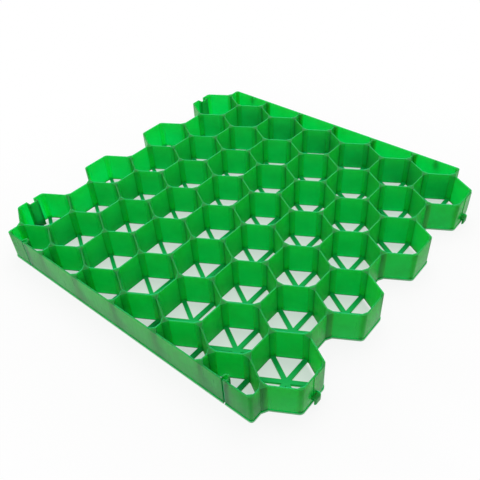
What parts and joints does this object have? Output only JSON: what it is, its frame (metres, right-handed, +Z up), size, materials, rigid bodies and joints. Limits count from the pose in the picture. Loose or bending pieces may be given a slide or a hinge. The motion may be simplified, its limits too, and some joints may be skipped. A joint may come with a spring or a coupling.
{
  "type": "grass paver grid",
  "caption": "Square moulded plastic grid of open hexagonal cells with a spoked floor, hooks and keyhole slots on its sides, laid to carry traffic over grass or gravel.",
  "frame": {"origin": "middle of the grid at the level of its foot", "axes": "+X along the straight sides towards the hooks, +Y towards the straight side with the beads, +Z up"},
  "size_m": [0.5062, 0.5014, 0.045],
  "materials": {
    "green_plastic": "satin moulded polyethylene, dyed through, slightly translucent"
  },
  "bodies": {
    "root": {"paver_grid": "green_plastic"}
  },
  "joints": []
}
